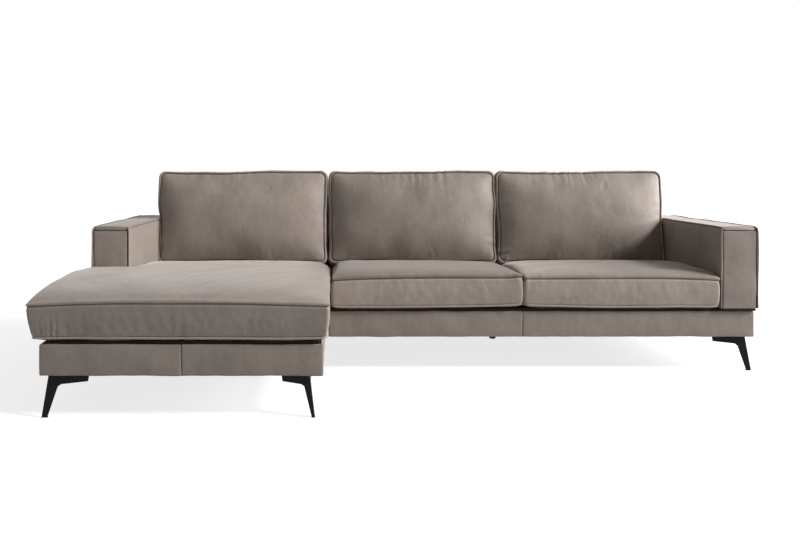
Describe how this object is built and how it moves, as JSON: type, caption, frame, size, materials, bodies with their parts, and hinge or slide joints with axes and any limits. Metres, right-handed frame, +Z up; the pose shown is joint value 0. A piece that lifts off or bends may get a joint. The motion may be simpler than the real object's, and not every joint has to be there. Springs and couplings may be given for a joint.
{
  "type": "corner sofa",
  "caption": "Corner sofa with a chaise on the left, low padded arms, loose piped seat and back cushions, and slim splayed metal legs.",
  "frame": {"origin": "under the middle of the bounding box, on the floor", "axes": "+X to the right along the front, +Y to the rear, +Z up; the chaise is at -X and its front faces -Y"},
  "size_m": [2.847, 1.65, 0.8483],
  "materials": {
    "upholstery": "matte",
    "seat_foam": "matte",
    "frame_wood": "matte",
    "spring_steel": "satin",
    "zinc_steel": "satin",
    "leg_metal": "satin",
    "support_plastic": "matte",
    "glide_plastic": "matte",
    "dust_cloth": "matte",
    "deck_felt": "matte",
    "webbing": "matte"
  },
  "bodies": {
    "sofa_frame": {"back_webbing": "webbing", "chaise_back_frame": "frame_wood", "chaise_back_front_cover": "upholstery", "chaise_back_rear_cover": "upholstery", "chaise_cross_rail": "frame_wood", "chaise_deck_pad": "deck_felt", "chaise_dust_cover": "dust_cloth", "chaise_front_cover_left": "upholstery", "chaise_front_cover_right": "upholstery", "chaise_front_left_leg": "leg_metal", "chaise_front_rail": "frame_wood", "chaise_front_right_leg": "leg_metal", "chaise_left_cover": "upholstery", "chaise_left_rail": "frame_wood", "chaise_rear_cover": "upholstery", "chaise_rear_left_leg": "leg_metal", "chaise_rear_rail": "frame_wood", "chaise_right_cover": "upholstery", "chaise_right_rail": "frame_wood", "chaise_springs": "spring_steel", "corner_blocks": "frame_wood", "joining_plates": "zinc_steel", "joining_screws": "zinc_steel", "left_arm_cover": "upholstery", "left_arm_frame": "frame_wood", "left_arm_front_panel": "upholstery", "leg_glides": "glide_plastic", "leg_screws": "zinc_steel", "right_arm_cover": "upholstery", "right_arm_frame": "frame_wood", "right_arm_front_panel": "upholstery", "sofa_back_frame": "frame_wood", "sofa_back_front_cover": "upholstery", "sofa_back_rear_cover": "upholstery", "sofa_cross_rail": "frame_wood", "sofa_deck_pad": "deck_felt", "sofa_dust_cover": "dust_cloth", "sofa_front_cover_left": "upholstery", "sofa_front_cover_right": "upholstery", "sofa_front_rail": "frame_wood", "sofa_front_right_leg": "leg_metal", "sofa_left_rail": "frame_wood", "sofa_rear_cover": "upholstery", "sofa_rear_rail": "frame_wood", "sofa_rear_right_leg": "leg_metal", "sofa_right_cover": "upholstery", "sofa_right_rail": "frame_wood", "sofa_springs": "spring_steel", "spring_clips": "zinc_steel", "support_legs": "support_plastic"},
    "chaise_seat": {"chaise_seat_cushion": "upholstery", "chaise_seat_foam": "seat_foam"},
    "left_seat": {"left_seat_cushion": "upholstery", "left_seat_foam": "seat_foam"},
    "right_seat": {"right_seat_cushion": "upholstery", "right_seat_foam": "seat_foam"},
    "chaise_back": {"chaise_back_cushion": "upholstery"},
    "left_back": {"left_back_cushion": "upholstery"},
    "right_back": {"right_back_cushion": "upholstery"}
  },
  "joints": [
    {"name": "chaise_seat_pull", "type": "slide", "parent": "sofa_frame", "child": "chaise_seat", "axis": [0, -0.9903, 0.1392], "range_m": [0, 1.46]},
    {"name": "left_seat_pull", "type": "slide", "parent": "sofa_frame", "child": "left_seat", "axis": [0, -0.9903, 0.1392], "range_m": [0, 0.76]},
    {"name": "right_seat_pull", "type": "slide", "parent": "sofa_frame", "child": "right_seat", "axis": [0, -0.9903, 0.1392], "range_m": [0, 0.76]},
    {"name": "chaise_back_lift", "type": "slide", "parent": "sofa_frame", "child": "chaise_back", "axis": [0, 0.1392, 0.9903], "range_m": [0, 0.4]},
    {"name": "left_back_lift", "type": "slide", "parent": "sofa_frame", "child": "left_back", "axis": [0, 0.1392, 0.9903], "range_m": [0, 0.4]},
    {"name": "right_back_lift", "type": "slide", "parent": "sofa_frame", "child": "right_back", "axis": [0, 0.1392, 0.9903], "range_m": [0, 0.4]}
  ]
}
